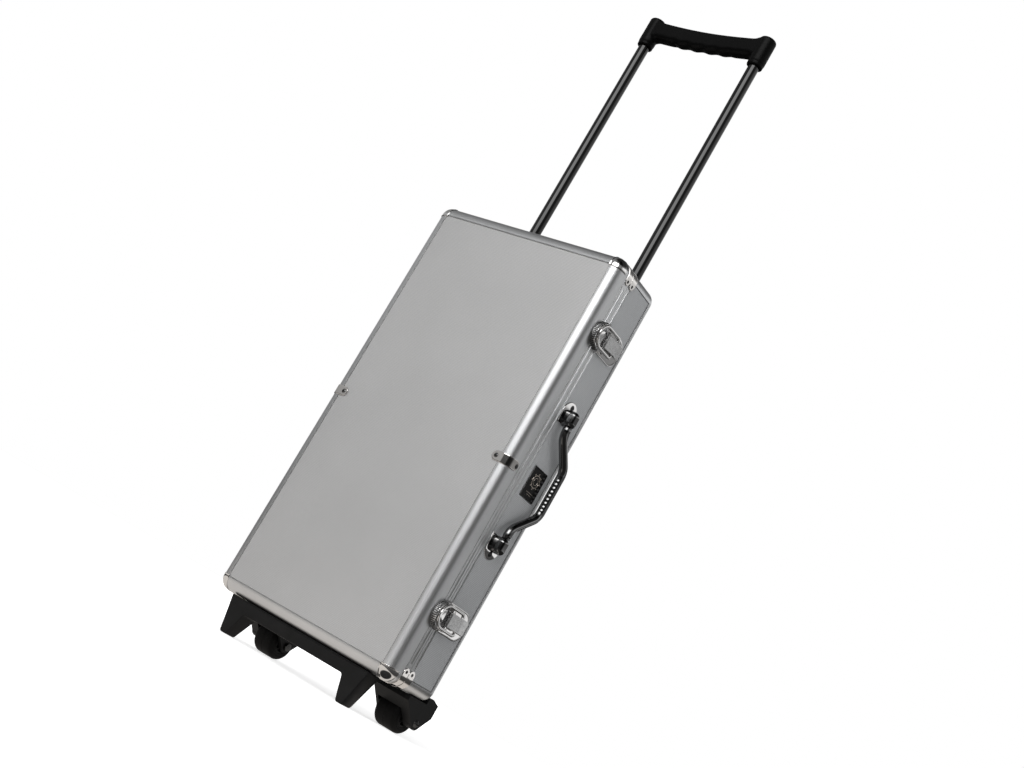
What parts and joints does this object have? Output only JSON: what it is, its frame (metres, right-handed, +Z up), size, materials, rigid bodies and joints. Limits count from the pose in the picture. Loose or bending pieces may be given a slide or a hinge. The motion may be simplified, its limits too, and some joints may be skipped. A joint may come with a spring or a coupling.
{
  "type": "poker chip case",
  "caption": "Rolling aluminium poker chip case with a side-hinged lid, draw latches, folding carry handle, telescopic trolley handle and wheeled carriage.",
  "frame": {"origin": "centre of the flat bottom end of the case; the feet and wheels reach below it", "axes": "+X towards the latches and carry handle, +Y towards the back with the trolley handle, +Z up along the case's long side"},
  "size_m": [0.3257, 0.1357, 1.029],
  "materials": {
    "satin_rail": "satin anodised extrusion",
    "laminate": "fine textured silver laminate",
    "chrome_fitting": "bright plated",
    "steel_pin": "turned",
    "black_tube": "gloss black enamel",
    "black_plastic": "moulded, fine grain",
    "button_plastic": "polished",
    "tyre_rubber": "smooth",
    "tray_flock": "flocked",
    "pad_fabric": "foam under fabric",
    "plate_black": "black enamel with a bright edge"
  },
  "bodies": {
    "case": {"base_panel": "laminate", "base_side_walls": "laminate", "base_bottom_wall": "laminate", "base_top_wall": "laminate", "base_long_rails": "satin_rail", "base_short_rails": "satin_rail", "base_corners": "satin_rail", "base_rim": "satin_rail", "base_clips": "chrome_fitting", "base_clip_rivets": "chrome_fitting", "chip_tray": "tray_flock", "hinge_base_leaf": "chrome_fitting", "hinge_pin": "steel_pin", "lower_latch_plate": "chrome_fitting", "upper_latch_plate": "chrome_fitting", "latch_pins": "steel_pin", "lower_handle_mount": "chrome_fitting", "upper_handle_mount": "chrome_fitting", "handle_screws": "chrome_fitting", "nameplate": "plate_black", "outer_tubes": "black_tube", "tube_guides": "black_plastic", "tube_collars": "black_plastic", "foot_bar": "black_plastic", "right_wheel_housing": "black_plastic", "left_wheel_housing": "black_plastic", "right_axle_bolt": "steel_pin", "left_axle_bolt": "steel_pin", "axle_nuts": "steel_pin", "carriage_screws": "steel_pin"},
    "lid": {"lid_panel": "laminate", "lid_long_rails": "satin_rail", "lid_short_rails": "satin_rail", "lid_corners": "satin_rail", "lid_rim": "satin_rail", "lid_corner_caps": "chrome_fitting", "lid_clips": "chrome_fitting", "lid_clip_rivets": "chrome_fitting", "edge_straps": "chrome_fitting", "strap_screws": "chrome_fitting", "latch_catches": "chrome_fitting", "hinge_lid_leaf": "chrome_fitting", "lid_pad": "pad_fabric"},
    "upper_lever": {"upper_latch_lever": "chrome_fitting"},
    "upper_bail": {"upper_latch_bail": "chrome_fitting"},
    "lower_lever": {"lower_latch_lever": "chrome_fitting"},
    "lower_bail": {"lower_latch_bail": "chrome_fitting"},
    "handle": {"carry_handle": "chrome_fitting"},
    "trolley": {"inner_tubes": "black_tube", "tube_bushes": "black_plastic", "grip": "black_plastic", "button_spring": "steel_pin"},
    "button": {"release_button": "button_plastic"},
    "right_pin": {"right_lock_pin": "steel_pin"},
    "left_pin": {"left_lock_pin": "steel_pin"},
    "right_wheel": {"right_tyre": "tyre_rubber", "right_hub": "black_plastic"},
    "left_wheel": {"left_tyre": "tyre_rubber", "left_hub": "black_plastic"}
  },
  "joints": [
    {"name": "lid_hinge", "type": "hinge", "parent": "case", "child": "lid", "pos_m": [-0.1537, -0.019, 0.285], "axis": [0, 0, -1], "range_deg": [0, 100]},
    {"name": "upper_latch_lift", "type": "hinge", "parent": "case", "child": "upper_lever", "pos_m": [0.1542, -0.0086, 0.475], "axis": [0, 0, -1], "range_deg": [0, 120]},
    {"name": "upper_bail_turn", "type": "hinge", "parent": "upper_lever", "child": "upper_bail", "pos_m": [0.158, 0.01, 0.475], "axis": [0, 0, -1], "range_deg": [-120, 0]},
    {"name": "lower_latch_lift", "type": "hinge", "parent": "case", "child": "lower_lever", "pos_m": [0.1542, -0.0086, 0.095], "axis": [0, 0, -1], "range_deg": [0, 120]},
    {"name": "lower_bail_turn", "type": "hinge", "parent": "lower_lever", "child": "lower_bail", "pos_m": [0.158, 0.01, 0.095], "axis": [0, 0, -1], "range_deg": [-120, 0]},
    {"name": "handle_swing", "type": "hinge", "parent": "case", "child": "handle", "pos_m": [0.16, 0.0035, 0.285], "axis": [0, 0, -1], "range_deg": [0, 90]},
    {"name": "trolley_slide", "type": "slide", "parent": "case", "child": "trolley", "axis": [0, 0, 1], "range_m": [-0.36, 0]},
    {"name": "button_press", "type": "slide", "parent": "trolley", "child": "button", "axis": [0, 0, -1], "range_m": [0, 0.0025], "deforming": ["button_spring"]},
    {"name": "right_pin_draw", "type": "slide", "parent": "trolley", "child": "right_pin", "axis": [1, 0, 0], "range_m": [0, 0.002]},
    {"name": "left_pin_draw", "type": "slide", "parent": "trolley", "child": "left_pin", "axis": [-1, 0, 0], "range_m": [0, 0.002]},
    {"name": "right_wheel_spin", "type": "hinge", "parent": "case", "child": "right_wheel", "pos_m": [0.11, 0.053, -0.0255], "axis": [1, 0, 0], "continuous": true},
    {"name": "left_wheel_spin", "type": "hinge", "parent": "case", "child": "left_wheel", "pos_m": [-0.11, 0.053, -0.0255], "axis": [1, 0, 0], "continuous": true}
  ],
  "couplings": [
    {"joint": "upper_bail_turn", "follows": "upper_latch_lift", "ratio": -1},
    {"joint": "lower_bail_turn", "follows": "lower_latch_lift", "ratio": -1},
    {"joint": "right_pin_draw", "follows": "button_press", "ratio": 0.8},
    {"joint": "left_pin_draw", "follows": "button_press", "ratio": 0.8}
  ]
}
